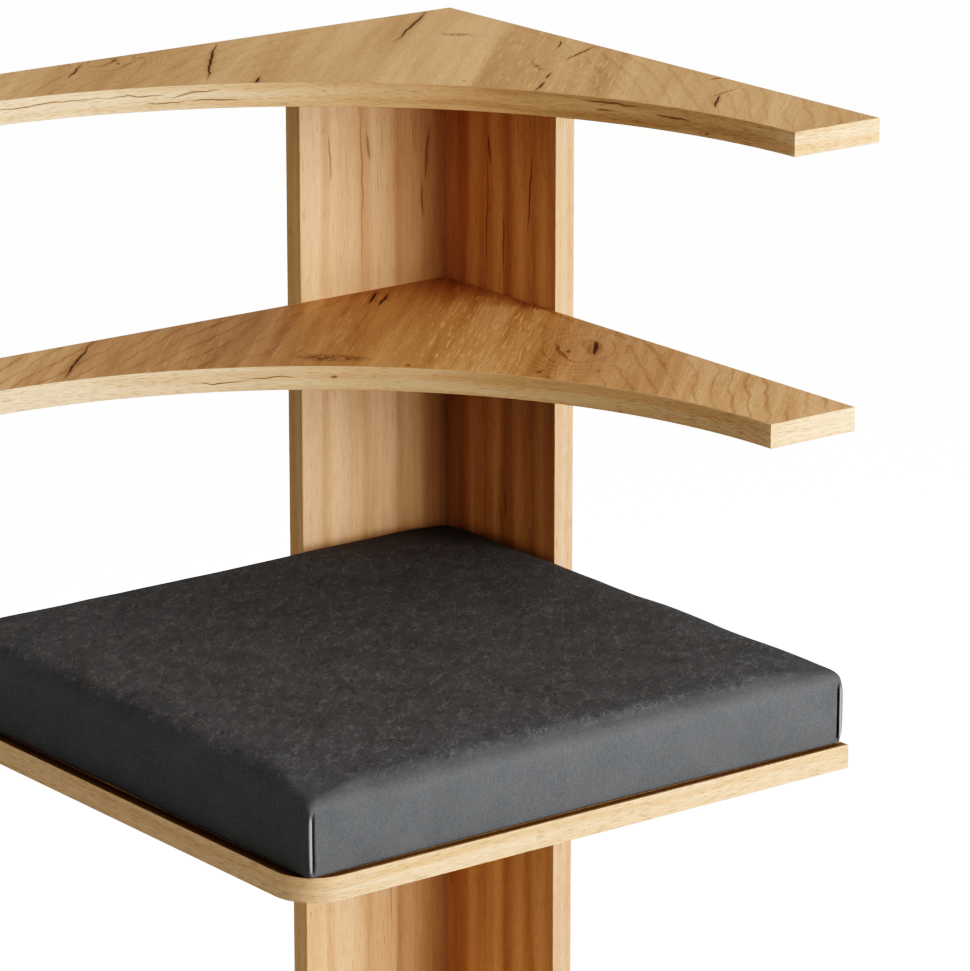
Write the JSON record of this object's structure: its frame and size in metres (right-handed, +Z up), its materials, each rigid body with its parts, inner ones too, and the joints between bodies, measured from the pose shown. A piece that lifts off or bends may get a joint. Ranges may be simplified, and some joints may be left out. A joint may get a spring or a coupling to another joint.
{
  "type": "corner cat tree",
  "caption": "Corner cat tree in oak-look board: an L-shaped column carries a cushioned square seat and shelves with round fronts above it.",
  "frame": {"origin": "on the floor, under the middle of the square outline of the top shelf and base", "axes": "+Z up. The two walls are the planes y = +0.225 and x = -0.225 m, so the column is at (-X, +Y) and the seat's front corner points to (+X, -Y)"},
  "size_m": [0.45, 0.45, 0.85],
  "materials": {
    "oak_board": "satin laminate with oak grain",
    "oak_band": "oak-print edge band, satin",
    "beech_dowel": "raw beech",
    "cap_plastic": "oak-coloured plastic",
    "zinc_fastener": "zinc plated",
    "zinc_bracket": "zinc plated, pressed sheet",
    "glide_plastic": "black plastic",
    "cushion_fabric": "dark grey brushed furniture fabric",
    "foam": "open-cell foam",
    "hook_and_loop": "black hook-and-loop tape"
  },
  "bodies": {
    "tree": {"base_back_bands": "oak_band", "base_board": "oak_board", "base_dowels": "beech_dowel", "base_front_band": "oak_band", "base_glide_nails": "zinc_fastener", "base_glides": "glide_plastic", "base_screws": "zinc_fastener", "column_back_band": "oak_band", "column_dowels": "beech_dowel", "column_left_board": "oak_board", "column_left_front_band": "oak_band", "column_right_board": "oak_board", "column_right_front_band": "oak_band", "column_screw_caps": "cap_plastic", "column_screws": "zinc_fastener", "mid_shelf_back_bands": "oak_band", "mid_shelf_board": "oak_board", "mid_shelf_dowels": "beech_dowel", "mid_shelf_front_band": "oak_band", "mid_shelf_screw_caps": "cap_plastic", "mid_shelf_screws": "zinc_fastener", "mid_shelf_tip_bands": "oak_band", "seat_back_bands": "oak_band", "seat_board": "oak_board", "seat_bracket_left": "zinc_bracket", "seat_bracket_right": "zinc_bracket", "seat_bracket_screws": "zinc_fastener", "seat_dowels": "beech_dowel", "seat_front_band": "oak_band", "seat_hook_pads": "hook_and_loop", "seat_screw_caps": "cap_plastic", "seat_screws": "zinc_fastener", "top_shelf_back_bands": "oak_band", "top_shelf_board": "oak_board", "top_shelf_cam_bolts": "zinc_fastener", "top_shelf_cam_caps": "cap_plastic", "top_shelf_cams": "zinc_fastener", "top_shelf_dowels": "beech_dowel", "top_shelf_front_band": "oak_band", "top_shelf_tip_bands": "oak_band", "wall_bracket_left": "zinc_bracket", "wall_bracket_right": "zinc_bracket", "wall_bracket_screws": "zinc_fastener"},
    "cushion": {"cushion_cover": "cushion_fabric", "cushion_bottom_panel": "cushion_fabric", "cushion_foam": "foam", "cushion_loop_pads": "hook_and_loop"}
  },
  "joints": [
    {"name": "cushion_lift", "type": "slide", "parent": "tree", "child": "cushion", "axis": [0.6941, -0.6941, 0.1908], "range_m": [0, 0.66]}
  ]
}
